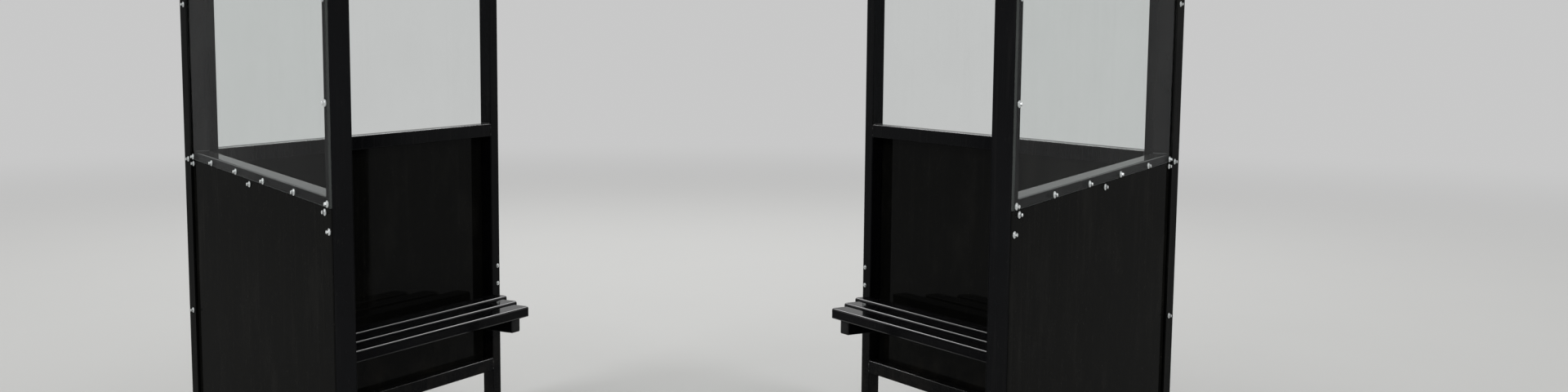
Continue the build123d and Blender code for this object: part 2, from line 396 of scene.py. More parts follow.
def worn_slat(name, paint, dust, gloss):
    """Gloss black coat of the seat slats: brightest on their edges, with fine rubs and a little dust."""
    finish = Finish(name)
    cloud = finish.noise(7.0, 4.0, 0.6)
    film = upward(finish) * finish.noise(34.0, 5.0, 0.6).above(0.36, 0.74)
    rubs = scratches(finish, 160.0, (0.1, 1.3, 0.5)) + scratches(finish, 130.0, (1.2, 0.3, 0.1))
    tone = finish.blend(cloud, paint, [part * 1.7 for part in paint])
    tone = finish.blend(film * 0.012 + rubs * 0.05, tone, dust)
    rough = gloss + cloud * 0.05 + film * 0.04 + rubs * 0.12
    lean = finish.axis(finish.normal, "Z")
    lip = height(finish).below(SLAT_BASE + 0.002, SLAT_BASE + 0.004) * abs(lean).below(0.2, 0.5)
    worn = lean.above(0.1, 0.35) - lean.above(0.9, 0.995) * 0.58 + lip
    surface = finish.bump(finish.noise(430.0, 2.0, 0.5), 0.0001, 0.12)
    surface = finish.bump(finish.noise(11.0, 2.0, 0.4), 0.0008, 0.15, surface)
    shader = finish.shader(
        colour=tone, roughness=rough, specular=0.04, coat=worn, coat_roughness=0.05, normal=surface
    )
    return finish.finished(shader)


def clear_plastic(name, tint, dust, face_axis, face_level):
    """Clear plastic sheet: a slight tint, faint reflections, a veil of dust, and frosted cut edges
    coloured dark grey as painted shade.
    """
    finish = Finish(name)
    cut_edge = abs(finish.axis(finish.normal, face_axis)).below(face_level - 0.1, face_level)
    veil = finish.noise(4.0, 5.0, 0.62).above(0.35, 0.8) * 0.014
    runs = streaks(finish, 0.03) * 0.009
    spots = finish.cells(120.0).below(0.1, 0.2) * finish.noise(17.0, 2.0).above(0.5, 0.62) * 0.03
    hairs = scratches(finish, 120.0, (0.7, 0.4, 0.3)) * 0.025
    lying = veil + runs + spots + hairs
    shine = finish.node("ShaderNodeFresnel", {}, {"IOR": SHEET_IOR}, 0)
    away = finish.node("ShaderNodeNewGeometry", {}, {}, "Backfacing")
    mirror = shine * (1.0 - away) * 0.15
    share = lying + mirror * (1.0 - lying)
    cover = share + cut_edge * 0.5 * (1.0 - share)
    metal = (mirror / (cover + 0.001)) * (1.0 - cut_edge)
    # Painted shade: the cut edges are coloured dark grey and made half opaque, standing in for the dark
    # line of shade along a sheet's edge.
    tone = finish.blend(cut_edge, dust, (0.09, 0.10, 0.095))
    tone = finish.blend(metal, tone, (0.9, 0.92, 0.92))
    rough = 0.03 + (1.0 - metal) * 0.35 + finish.noise(5.0, 3.0).above(0.5, 0.8) * 0.05
    surface = finish.bump(finish.noise(1.7, 2.0, 0.4), 0.004, 0.15)
    solid = finish.shader(colour=tone, metallic=metal, roughness=rough, normal=surface)
    clear = finish.node("ShaderNodeBsdfTransparent", {}, {"Color": colour4(tint)}, 0)
    return finish.finished(finish.node("ShaderNodeMixShader", {}, {0: cover, 1: clear, 2: solid}, 0))


def bright_zinc(name, metal, rust):
    """Bright zinc plating: cool, finely mottled, with a little white bloom and rust."""
    finish = Finish(name)
    mottle = finish.noise(900.0, 3.0, 0.6)
    bloom = finish.noise(260.0, 4.0, 0.6).above(0.55, 0.75)
    rusty = finish.noise(60.0, 4.0, 0.6).above(0.68, 0.8) * finish.noise(700.0, 2.0).above(0.45, 0.6)
    tone = finish.blend(mottle, [part * 0.86 for part in metal], metal)
    tone = finish.blend(bloom * 0.35, tone, (0.72, 0.73, 0.72))
    tone = finish.blend(rusty * 0.5, tone, rust)
    rough = 0.26 + mottle * 0.12 + bloom * 0.15 + rusty * 0.3
    surface = finish.bump(mottle, 0.0001, 0.4)
    shader = finish.shader(colour=tone, metallic=0.8 - bloom * 0.2, roughness=rough, normal=surface)
    return finish.finished(shader)


def moulded(name, tone, gloss, grain):
    """Dull black plastic with a moulded grain and a bloom of dust."""
    finish = Finish(name)
    skin = finish.cells(grain)
    bloom = finish.noise(45.0, 4.0, 0.6).above(0.4, 0.75)
    paint = finish.blend(bloom * 0.3, tone, [part * 2.6 for part in tone])
    rough = gloss + bloom * 0.15 + skin * 0.08
    surface = finish.bump(skin, 0.0002, 0.35)
    return finish.finished(finish.shader(colour=paint, roughness=rough, specular=0.2, normal=surface))


# Mesh helpers


def turned(bm, profile, steps):
    """A shape turned about z from its profile of radius and height, closed where it meets the axis."""
    points = [bm.verts.new((radius, 0.0, z)) for radius, z in profile]
    edges = [bm.edges.new(pair) for pair in zip(points, points[1:])]
    bmesh.ops.spin(
        bm, geom=points + edges, cent=(0.0, 0.0, 0.0), axis=UP, dvec=(0.0, 0.0, 0.0),
        angle=math.tau, steps=steps, use_merge=True, use_duplicate=False,
    )
    bmesh.ops.remove_doubles(bm, verts=linked(points), dist=1e-6)
    faces = [face for face in bm.faces if not face.tag]
    for face in faces:
        face.smooth = True
        face.tag = True
    bmesh.ops.recalc_face_normals(bm, faces=faces)


def linked(points):
    """Every vertex joined to the given ones by edges, in the order in which they are met."""
    found = dict.fromkeys(points)
    front = list(points)
    while front:
        vertex = front.pop()
        for edge in vertex.link_edges:
            other = edge.other_vert(vertex)
            if other not in found:
                found[other] = True
                front.append(other)
    return list(found)


def bevelled(bm, edges, offset, segments):
    """Rounds edges off, or chamfers them where there is one segment."""
    bmesh.ops.bevel(
        bm, geom=edges, offset=offset, offset_type="OFFSET", segments=segments, profile=0.5,
        affect="EDGES", material=-1,
    )


def hexagon_head(bm, across_flats, base, top, chamfer):
    """A six-sided head or nut between two heights, with the corners of its top taken off."""
    radius = across_flats / 2.0 / COS_HALF
    place = Matrix.Translation((0.0, 0.0, base))
    ring = bmesh.ops.create_circle(bm, cap_ends=True, segments=6, radius=radius, matrix=place)["verts"]
    face = next(iter(ring[0].link_faces))
    raised = bmesh.ops.extrude_face_region(bm, geom=[face])["geom"]
    corners_up = [item for item in raised if isinstance(item, bmesh.types.BMVert)]
    bmesh.ops.translate(bm, verts=corners_up, vec=(0.0, 0.0, top - base))
    rim = [item for item in raised if isinstance(item, bmesh.types.BMEdge)]
    bevelled(bm, rim, chamfer, 1)
    faces = [item for item in bm.faces if not item.tag]
    for item in faces:
        item.tag = True
    bmesh.ops.recalc_face_normals(bm, faces=faces)


def copies(shape, places):
    """One bmesh with a copy of a shape at each place."""
    pattern = bpy.data.meshes.new("pattern")
    shape.to_mesh(pattern)
    shape.free()
    joined = bmesh.new()
    for place in places:
        first = len(joined.verts)
        joined.from_mesh(pattern)
        joined.verts.ensure_lookup_table()
        bmesh.ops.transform(joined, matrix=place, verts=joined.verts[first:])
    bpy.data.meshes.remove(pattern)
    return joined


def placed(name, data):
    """A new object in the scene, for a mesh, a lamp or a camera."""
    made = bpy.data.objects.new(name, data)
    bpy.context.scene.collection.objects.link(made)
    return made


def mesh_object(name, bm, surface):
    """A new object in the scene from a bmesh, with its material."""
    mesh = bpy.data.meshes.new(name)
    bm.to_mesh(mesh)
    bm.free()
    mesh.materials.append(surface)
    return placed(name, mesh)


def piece(name, shape, places, surface):
    """Makes a piece of the shelter: a copy of a shape at each place, joined in one mesh."""
    made = mesh_object(name, copies(shape, places), surface)
    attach(made, "root")


def dress(nodes, surface):
    """Gives CAD nodes their material."""
    for node in nodes:
        mesh = frame["nodes"][node].data
        mesh.materials.clear()
        mesh.materials.append(surface)


def material(name, make, *settings):
    """The material of that name, made once."""
    found = bpy.data.materials.get(name)
    return found or make(name, *settings)


def finishes():
    """The settings of the finishes."""
    return bpy.context.scene.shelter_finishes


def fixings():
    """The settings of the screws and bolts."""
    return bpy.context.scene.shelter_fixings


def frame_paint():
    """The paint of the frames."""
    look = finishes()
    return material(
        "frame_powder_coat", painted_tube, look.frame_paint, look.soil, look.dust, look.frame_gloss,
        look.frame_face_on, look.frame_glance, look.frame_edge,
    )


def gloss_black(name, black, gloss):
    """The deep gloss of the lower panels or of the folded covers."""
    look = finishes()
    return material(
        name, gloss_sheet, black, look.soil, look.dust, gloss, look.gloss_face_on, look.gloss_glance
    )


def zinc():
    """The plating of the screws and bolts."""
    look = finishes()
    return material("zinc_plating", bright_zinc, look.zinc, look.rust)


def cap_plastic():
    """The plastic of the end caps."""
    return material("cap_plastic", moulded, finishes().cap_plastic, CAP_ROUGHNESS, CAP_GRAIN)


# Settings


def colour_setting(name, description, default):
    """A colour that a user can change."""
    return bpy.props.FloatVectorProperty(
        name=name, description=description, subtype="COLOR", size=3, min=0.0, max=1.0, default=default
    )


def length_setting(name, description, default):
    """A length in metres that a user can change."""
    return bpy.props.FloatProperty(
        name=name, description=description, unit="LENGTH", min=0.0, precision=4, default=default
    )


def power_setting(name, description, default):
    """The power of a lamp in watts that a user can change."""
    return bpy.props.FloatProperty(
        name=name, description=description, unit="POWER", min=0.0, default=default
    )


def share_setting(name, description, default):
    """A share from 0 to 1 that a user can change."""
    return bpy.props.FloatProperty(
        name=name, description=description, subtype="FACTOR", min=0.0, max=1.0, default=default
    )


class ShelterFinishes(bpy.types.PropertyGroup):
    """Colours and gloss of the shelter's surfaces."""

    frame_paint: colour_setting("Frame paint", "Powder coat of the tubes", (0.0021, 0.0022, 0.0028))
    frame_gloss: share_setting("Frame roughness", "Roughness of the clean powder coat", 0.16)
    frame_face_on: share_setting("Frame face on", "Share that the powder coat mirrors face on", 0.006)
    frame_glance: share_setting("Frame at a glance", "Further share that it mirrors at a glance", 0.09)
    frame_edge: share_setting("Frame edges", "Further share that its rounded upper edges mirror", 0.1)
    panel_black: colour_setting("Panel black", "Lower panels under their gloss", (0.0036, 0.0036, 0.0033))
    panel_gloss: share_setting("Panel roughness", "Roughness of a clean lower panel", 0.04)
    cover_black: colour_setting("Cover black", "Covers under their gloss", (0.0034, 0.0035, 0.0034))
    cover_gloss: share_setting("Cover roughness", "Roughness of a clean corner cover", 0.12)
    gloss_face_on: share_setting("Gloss face on", "Share that black sheet mirrors face on", 0.006)
    gloss_glance: share_setting("Gloss at a glance", "Further share that it mirrors at a glance", 0.034)
    slat_paint: colour_setting("Slat paint", "Gloss coat of the seat slats", (0.0028, 0.0028, 0.0034))
    slat_gloss: share_setting("Slat roughness", "Roughness of a clean slat", 0.08)
    sheet_tint: colour_setting("Sheet tint", "What a clear face lets through", (0.962, 0.972, 0.968))
    zinc: colour_setting("Zinc", "Plating of the screws and bolts", (0.84, 0.87, 0.87))
    cap_plastic: colour_setting("Cap plastic", "End caps", (0.006, 0.006, 0.0065))
    dust: colour_setting("Dust", "Dust and dried rain", (0.30, 0.285, 0.25))
    soil: colour_setting("Soil", "Dried splashes near the ground", (0.16, 0.135, 0.105))
    rust: colour_setting("Rust", "Rust on worn plating", (0.20, 0.075, 0.03))


class ShelterFixings(bpy.types.PropertyGroup):
    """Sizes and places of the screws and bolts."""

    washer_radius: length_setting("Washer radius", "Washers of a panel screw", 0.0085)
    flange_radius: length_setting("Flange radius", "Flange under a screw's head", 0.0058)
    screw_flats: length_setting("Screw head", "Across the flats of a panel screw's head", 0.008)
    screw_height: length_setting("Screw height", "Height of the hexagon of a panel screw", 0.005)
    sheet_edge: length_setting("Sheet edge distance", "Screw to the lower edge of a clear sheet", 0.009)
    panel_edge: length_setting("Panel edge distance", "Screw to the upper edge of a lower panel", 0.011)
    cover_pitch: length_setting("Cover pitch", "Between the screws of a corner cover", 0.475)
    roof_pitch: length_setting("Roof pitch", "Between the screws of a hip cover", 0.29)
    anchor_flats: length_setting("Anchor nut", "Across the flats of an anchor's nut", 0.019)
    weld_radius: length_setting("Weld", "Half the width of a weld bead", 0.0027)


class ShelterStage(bpy.types.PropertyGroup):
    """Camera, floor and light."""

    lens: bpy.props.FloatProperty(
        name="Lens", description="Focal length on a 36 mm sensor", unit="CAMERA", default=35.56
    )
    floor: colour_setting("Floor", "Colour of the floor and backdrop", (0.56, 0.56, 0.55))
    floor_radius: length_setting("Floor radius", "Level part of the floor", 22.0)
    sky: share_setting("Sky light", "Strength of the even light all round", 0.86)
    backdrop: share_setting("Backdrop", "Brightness of what stands behind everything", 0.58)
    key_light: power_setting("Key light", "Power of the large lamp at the upper left", 260.0)
    back_light: power_setting("Back light", "Power of the long lamp behind", 330.0)
    fill_light: power_setting("Fill light", "Power of the lamp at the right", 140.0)


# Finishes of the CAD nodes


class ShelterOperator(bpy.types.Operator):
    """One piece, or one group of like pieces, of the shelter."""

    bl_options = {"REGISTER", "UNDO"}


class SHELTER_OT_frames(ShelterOperator):
    """Paint the tubes of the wall frames, benches, eaves and roof, and the base plates."""

    bl_idname = "shelter.frames"
    bl_label = "Frame paint"

    def execute(self, context):
        starts = ("post_", "rail_", "bench_rail_", "bench_bearers_", "eaves_beam_")
        tubes = [node for node in frame["nodes"] if node.startswith(starts)]
        dress(tubes + ["hip_rafters", "roof_hub", "base_plates"], frame_paint())
        return {"FINISHED"}


class SHELTER_OT_lower_panels(ShelterOperator):
    """Give the lower panels their deep gloss."""

    bl_idname = "shelter.lower_panels"
    bl_label = "Lower panels"

    def execute(self, context):
        look = finishes()
        black = gloss_black("panel_gloss_black", look.panel_black, look.panel_gloss)
        dress([f"panel_lower_{wall}" for wall in WALLS], black)
        return {"FINISHED"}


class SHELTER_OT_covers(ShelterOperator):
    """Give the corner covers, hip covers and roof cap their gloss coat."""

    bl_idname = "shelter.covers"
    bl_label = "Folded covers"

    def execute(self, context):
        look = finishes()
        black = gloss_black("cover_gloss_black", look.cover_black, look.cover_gloss)
        dress([f"corner_cover_{hand}" for hand in HANDS] + ["hip_covers", "roof_cap"], black)
        return {"FINISHED"}


class SHELTER_OT_slats(ShelterOperator):
    """Give the seat slats their gloss coat."""

    bl_idname = "shelter.slats"
    bl_label = "Seat slats"

    def execute(self, context):
        look = finishes()
        black = material("slat_gloss_black", worn_slat, look.slat_paint, look.dust, look.slat_gloss)
        dress([f"bench_slats_{hand}" for hand in HANDS], black)
        return {"FINISHED"}


class SHELTER_OT_clear_sheets(ShelterOperator):
    """Make the upper wall sheets and the roof sheets clear."""

    bl_idname = "shelter.clear_sheets"
    bl_label = "Clear sheets"

    def execute(self, context):
        look = finishes()
        walls = material(
            "sheet_clear_wall", clear_plastic, look.sheet_tint, look.dust, "X", WALL_FACE_LEVEL
        )
        roof = material(
            "sheet_clear_roof", clear_plastic, look.sheet_tint, look.dust, "Z", ROOF_FACE_LEVEL
        )
        dress([f"sheet_upper_{wall}" for wall in WALLS], walls)
        dress(["roof_sheets"], roof)
        return {"FINISHED"}


# Screws and bolts

# Places along a wall from its open end, and heights above the joint or the ground
SHEET_ROW = (0.015, 0.295, 0.590, 0.885, 1.180, 1.430)
SHEET_COLUMN = (0.239, 0.474, 0.714)
PANEL_ROW = (0.045, 0.745, 1.440)
PANEL_END = 0.0135
PANEL_COLUMN = (1.046, 0.630, 0.235)
POST_BOLT_ALONG = 0.015
POST_BOLT_HEIGHTS = (0.487, 0.558)

# From a screw to the top of its clear sheet or to the foot of its lower panel
FAR_EDGE = 0.012

# Heights of a corner cover's screws from the joint, in pitches
COVER_STEPS = (-1.9, -1, 0, 1, 2)

# Places on the roof: from its middle, to each side of a hip, and as shares of a side
FIRST_HIP_SCREW = 0.16
LAST_HIP_SCREW_INSET = 0.04
HIP_SCREW_LEANS = (-0.017, 0.017)
EAVES_SHARES = (0.14, 0.32, 0.5, 0.68, 0.86)
CAP_SCREW_REACH = 0.05

# How far off a surface the line that seats a fixing starts
LINE_START = 0.5

# Heights of a panel screw's layers, and steps round the small turned shapes
PLAIN_TOP = 0.002
DISH_BASE, DISH_EDGE, DISH_TOP = 0.0016, 0.0024, 0.0034
FLANGE_BASE, FLANGE_EDGE, FLANGE_TOP = 0.0030, 0.0040, 0.0045
SCREW_HEAD_BASE = 0.0043
SCREW_CHAMFER = 0.0007
ROUND_STEPS = 20

# The button-headed bolt: its washer, its head and the socket in the head
BUTTON_WASHER_RADIUS, BUTTON_WASHER_TOP = 0.0082, 0.0012
BUTTON_RADIUS, BUTTON_BASE, BUTTON_TOP = 0.0066, 0.0010, 0.0050
SOCKET_RADIUS, SOCKET_FLOOR = 0.0022, 0.0026

# The anchor: washer, nut and stud above the base plate
ANCHOR_WASHER_BORE, ANCHOR_WASHER_RADIUS, ANCHOR_WASHER_TOP = 0.0062, 0.012, 0.0025
ANCHOR_NUT_TOP = 0.0125
ANCHOR_CHAMFER = 0.0012
THREAD_CREST, THREAD_ROOT, THREAD_PITCH = 0.0059, 0.0052, 0.00175
THREAD_TURNS = 11
STUD_TOP = 0.0220
ANCHOR_STEPS, STUD_STEPS = 24, 14


def panel_screw():
    """A hexagon-headed screw on its flange, with a dished washer over a plain one."""
    size = fixings()
    bm = bmesh.new()
    washer, flange = size.washer_radius, size.flange_radius
    plain = [
        (0.0, 0.0), (washer * 0.94, 0.0), (washer * 0.97, PLAIN_TOP / 2.0), (washer * 0.9, PLAIN_TOP),
    ]
    turned(bm, plain, ROUND_STEPS)
    dish = [
        (0.0, DISH_BASE), (washer * 0.9, DISH_BASE), (washer, DISH_BASE + 0.0002),
        (washer, DISH_EDGE), (washer * 0.86, DISH_EDGE + 0.0006), (flange * 1.05, DISH_TOP),
        (0.0, DISH_TOP),
    ]
    turned(bm, dish, ROUND_STEPS)
    collar = [
        (0.0, FLANGE_BASE), (flange, FLANGE_BASE + 0.0002), (flange, FLANGE_EDGE),
        (flange * 0.86, FLANGE_TOP), (0.0, FLANGE_TOP),
    ]
    turned(bm, collar, ROUND_STEPS)
    head_top = SCREW_HEAD_BASE + size.screw_height
    hexagon_head(bm, size.screw_flats, SCREW_HEAD_BASE, head_top, SCREW_CHAMFER)
    return bm


def dome_bolt():
    """A button-headed bolt on a plain washer, with a socket in its head."""
    bm = bmesh.new()
    washer = [
        (0.0, 0.0), (BUTTON_WASHER_RADIUS, 0.0), (BUTTON_WASHER_RADIUS + 0.0002, 0.0004),
        (BUTTON_WASHER_RADIUS, BUTTON_WASHER_TOP), (0.0, BUTTON_WASHER_TOP),
    ]
    turned(bm, washer, ROUND_STEPS)
    button = [
        (0.0, BUTTON_BASE), (BUTTON_RADIUS, BUTTON_BASE), (BUTTON_RADIUS + 0.0001, 0.0018),
        (0.0060, 0.0034), (0.0044, 0.0046), (0.0026, BUTTON_TOP),
        (SOCKET_RADIUS + 0.0001, BUTTON_TOP - 0.0002), (SOCKET_RADIUS, SOCKET_FLOOR + 0.0002),
        (0.0, SOCKET_FLOOR),
    ]
    turned(bm, button, ROUND_STEPS)
    return bm


def anchor_bolt():
    """A ground anchor's washer, nut and threaded stud, standing on a base plate."""
    bm = bmesh.new()
    bore, rim, top = ANCHOR_WASHER_BORE, ANCHOR_WASHER_RADIUS, ANCHOR_WASHER_TOP
    washer = [
        (bore, 0.0), (rim - 0.0002, 0.0), (rim, 0.0004), (rim, top - 0.0004), (rim - 0.0003, top),
        (bore, top),
    ]
    turned(bm, washer, ANCHOR_STEPS)
    hexagon_head(bm, fixings().anchor_flats, top, ANCHOR_NUT_TOP, ANCHOR_CHAMFER)
    stud = [(0.0, 0.0), (0.0056, 0.0)]
    for turn in range(THREAD_TURNS):
        low = 0.0010 + turn * THREAD_PITCH
        stud += [(THREAD_CREST, low + 0.0004), (THREAD_ROOT, low + 0.0013)]
    stud += [(THREAD_ROOT - 0.0002, STUD_TOP - 0.0008), (0.0042, STUD_TOP), (0.0, STUD_TOP)]
    turned(bm, stud, STUD_STEPS)
    return bm


def wall_screw_places(wall):
    """Where the screws of a wall's clear sheet and lower panel sit."""
    size = fixings()
    side = wall_side(wall)
    sheet, panel = f"sheet_upper_{wall}", f"panel_lower_{wall}"
    sheet_row, sheet_top = JOINT_HIGH + size.sheet_edge, PANEL_TOP - FAR_EDGE
    panel_row, panel_foot = JOINT_LOW - size.panel_edge, PANEL_BASE + FAR_EDGE
    spots = [(sheet, along, up) for up in (sheet_row, sheet_top) for along in SHEET_ROW]
    spots += [(sheet, SHEET_ROW[0], JOINT_HIGH + rise) for rise in SHEET_COLUMN]
    spots += [(panel, along, up) for up in (panel_row, panel_foot) for along in PANEL_ROW]
    spots += [(panel, PANEL_END, up) for up in PANEL_COLUMN]
    turns = random.Random(wall)
    return [
        seat(node, side.at(along, LINE_START, up), -side.outward, turns.uniform(0.0, math.tau))
        for node, along, up in spots
    ]


class SHELTER_OT_panel_screws(ShelterOperator):
    """Put the screws round each wall's clear sheet and lower panel."""

    bl_idname = "shelter.panel_screws"
    bl_label = "Panel screws"

    def execute(self, context):
        for wall in WALLS:
            places = wall_screw_places(wall)
            piece(f"panel_screws_{wall}", panel_screw(), places, zinc())
        return {"FINISHED"}


class SHELTER_OT_cover_screws(ShelterOperator):
    """Put the screws down both legs of each corner cover."""

    bl_idname = "shelter.cover_screws"
    bl_label = "Corner cover screws"

    def execute(self, context):
        pitch = fixings().cover_pitch
        middle = (JOINT_LOW + JOINT_HIGH) / 2.0
        for hand in HANDS:
            places = []
            for wall in (f"front_{hand}", f"rear_{hand}"):
                side = wall_side(wall)
                for step in COVER_STEPS:
                    start = side.at(side.length - TUBE / 2.0, LINE_START, middle + step * pitch)
                    places.append(seat(f"corner_cover_{hand}", start, -side.outward, step * 1.3))
            piece(f"cover_screws_{hand}", panel_screw(), places, zinc())
        return {"FINISHED"}


class SHELTER_OT_roof_screws(ShelterOperator):
    """Put the screws down the hip covers, along the eaves and round the roof cap."""

    bl_idname = "shelter.roof_screws"
    bl_label = "Roof screws"

    def execute(self, context):
        high = CAD_BOX[1][2] + LINE_START
        around = corners()
        places = []
        for index, corner in enumerate(around):
            hip = corner.normalized()
            across = hip.cross(UP)
            rows = int((corner.length - FIRST_HIP_SCREW) / fixings().roof_pitch) + 1
            span = corner.length - FIRST_HIP_SCREW - LAST_HIP_SCREW_INSET
            for row in range(rows):
                reach = FIRST_HIP_SCREW + row * span / (rows - 1)
                for lean in HIP_SCREW_LEANS:
                    start = hip * reach + across * lean + UP * high
                    places.append(seat("hip_covers", start, -UP, row + lean * 40.0))
            side = Side(corner, around[(index + 1) % len(around)])
            for share in EAVES_SHARES:
                start = side.at(side.length * share, -TUBE / 2.0, high)
                places.append(seat("roof_sheets", start, -UP, share * 9.0))
            start = side.outward * CAP_SCREW_REACH + UP * high
            places.append(seat("roof_cap", start, -UP, index * 0.4))
        piece("roof_screws", panel_screw(), places, zinc())
        return {"FINISHED"}


class SHELTER_OT_post_bolts(ShelterOperator):
    """Put the two bolts on the inner face of each rear post at the open side."""

    bl_idname = "shelter.post_bolts"
    bl_label = "Post bolts"

    def execute(self, context):
        for hand in HANDS:
            side = wall_side(f"rear_{hand}")
            places = []
            for up in POST_BOLT_HEIGHTS:
                start = side.at(POST_BOLT_ALONG, -LINE_START, up)
                places.append(seat(f"post_rear_{hand}_end", start, side.outward, up * 7.0))
            piece(f"post_bolts_{hand}", dome_bolt(), places, zinc())
        return {"FINISHED"}


class SHELTER_OT_anchor_bolts(ShelterOperator):
    """Put an anchor bolt through each hole of the base plates."""

    bl_idname = "shelter.anchor_bolts"
    bl_label = "Anchor bolts"

    def execute(self, context):
        places = []
        for mount in frame["record"]["mounts"]:
            if mount["kind"] != "bolt_pattern":
                continue
            centre = Vector(mount["pos_m"][:2] + [PLATE_TOP])
            sizes = mount["dims"]
            if "pcd_mm" in sizes:
                wall = mount["name"].removeprefix("anchor_")
                first = wall_side(wall).along
                half = (sizes["pcd_mm"] * MM / 2.0 / math.sqrt(2.0),) * 2
            else:
                first = Vector((1.0, 0.0, 0.0))
                half = (sizes["spacing_x_mm"] * MM / 2.0, sizes["spacing_y_mm"] * MM / 2.0)
            second = first.cross(UP)
            for a in (-1, 1):
                for b in (-1, 1):
                    spot = centre + first * half[0] * a + second * half[1] * b
                    places.append(standing(spot, UP, spot.x * 11.0 + spot.y * 5.0))
        piece("anchor_bolts", anchor_bolt(), places, zinc())
        return {"FINISHED"}


# Welds

# A bead's own length before it is laid, its ends and its ripples
WELD_UNIT = 0.05
WELD_TIP = 0.0004
FIRST_RIPPLE, RIPPLE_PITCH, RIPPLE_TROUGH = 0.0016, 0.0034, 0.0019
RIPPLE_COUNT = 14
WELD_STEPS = 8

# How far a rail's upright bead lies in from its inner face, and places at the mitres of the eaves ring
BEAD_INSET = 0.0012
MITRE_OUTER_SHARE = 0.997
MITRE_INSET = 0.003


def weld_bead():
    """A rippled weld bead of unit length along z."""
    radius = fixings().weld_radius
    ripples = random.Random(7)
    profile = [(0.0, 0.0), (radius * 0.7, WELD_TIP)]
    for step in range(RIPPLE_COUNT):
        low = FIRST_RIPPLE + step * RIPPLE_PITCH
        profile.append((radius * ripples.uniform(1.0, 1.16), low))
        profile.append((radius * ripples.uniform(0.82, 0.92), low + RIPPLE_TROUGH))
    profile += [(radius * 0.7, WELD_UNIT - WELD_TIP), (0.0, WELD_UNIT)]
    bm = bmesh.new()
    turned(bm, profile, WELD_STEPS)
    return bm


def bead(start, end):
    """A matrix that lays the weld bead from one point to another."""
    length = (end - start).length
    return standing(start, end - start) @ Matrix.Diagonal((1.0, 1.0, length / WELD_UNIT, 1.0))


def beads_round(side, near, up, *faces):
    """The level beads at a post's foot or head, on the named faces. The post starts at near."""
    far = near + TUBE
    inset = CORNER_ROUND
    lines = {
        "inner": ((near + inset, -TUBE), (far - inset, -TUBE)),
        "outer": ((near + inset, 0.0), (far - inset, 0.0)),
        "open end": ((near, inset - TUBE), (near, -inset)),
        "closed end": ((far, inset - TUBE), (far, -inset)),
    }
    return [(side.at(*lines[face][0], up), side.at(*lines[face][1], up)) for face in faces]


def rail_beads(side, base):
    """The beads at both ends of a rail: above it, below it and on its inner face."""
    lines = []
    inner, outer = -TUBE, -CORNER_ROUND
    for along in (TUBE, side.length - TUBE):
        for up in (base, base + TUBE):
            lines.append((side.at(along, outer, up), side.at(along, inner + CORNER_ROUND, up)))
        low = side.at(along, inner + BEAD_INSET, base + CORNER_ROUND)
        lines.append((low, low + UP * TUBE_FLAT))
    return lines


def bearer_beads(side):
    """The beads where a bench's bearers meet its rail."""
    lines = []
    for offset in BEARER_PLACES:
        for edge in (-TUBE / 2.0, TUBE / 2.0):
            low = side.at(offset + edge, -TUBE, BENCH_RAIL_BASE + CORNER_ROUND)
            lines.append((low, low + UP * TUBE_FLAT))
        for up in (BENCH_RAIL_BASE, BENCH_RAIL_TOP):
            start = side.at(offset - TUBE / 2.0 + CORNER_ROUND, -TUBE, up)
            lines.append((start, start + side.along * TUBE_FLAT))
    return lines


class SHELTER_OT_welds(ShelterOperator):
    """Lay the weld beads of each wall frame and of the eaves ring."""

    bl_idname = "shelter.welds"
    bl_label = "Weld beads"

    def execute(self, context):
        for wall in WALLS:
            side = wall_side(wall)
            lines = []
            for base in RAIL_BASES:
                lines += rail_beads(side, base)
            lines += beads_round(side, 0.0, PLATE_TOP, "inner", "outer", "open end", "closed end")
            lines += beads_round(side, 0.0, POST_TOP, "inner", "closed end")
            corner_post = side.length - TUBE
            lines += beads_round(side, corner_post, PLATE_TOP, "inner", "outer", "open end")
            lines += beads_round(side, corner_post, POST_TOP, "inner", "open end")
            if wall.startswith("rear"):
                lines += rail_beads(side, BENCH_RAIL_BASE)
                lines += bearer_beads(side)
            places = [bead(start, end) for start, end in lines]
            piece(f"welds_{wall}", weld_bead(), places, frame_paint())
        lines = []
        for corner in corners():
            inner = corner * (1.0 - TUBE / COS_HALF / corner.length)
            low, high = POST_TOP + MITRE_INSET, POST_TOP + TUBE - 2.0 * MITRE_INSET
            lines.append((corner * MITRE_OUTER_SHARE + UP * POST_TOP, inner + UP * POST_TOP))
            lines.append((inner + UP * low, inner + UP * high))
        places = [bead(start, end) for start, end in lines]
        piece("welds_eaves_ring", weld_bead(), places, frame_paint())
        return {"FINISHED"}


# End caps

BEARER_CAP_THICK, BEARER_CAP_RIM = 0.003, 0.005
SLAT_CAP_THICK, SLAT_CAP_RIM = 0.002, 0.004
SLAT_CAP_LOWER_ROUND = 0.0008
CAP_CORNER_STEPS, CAP_EDGE_STEPS = 5, 3

# The slope and rise of a cap's raised face
CAP_SLOPE, CAP_RISE = 0.0008, 0.0007


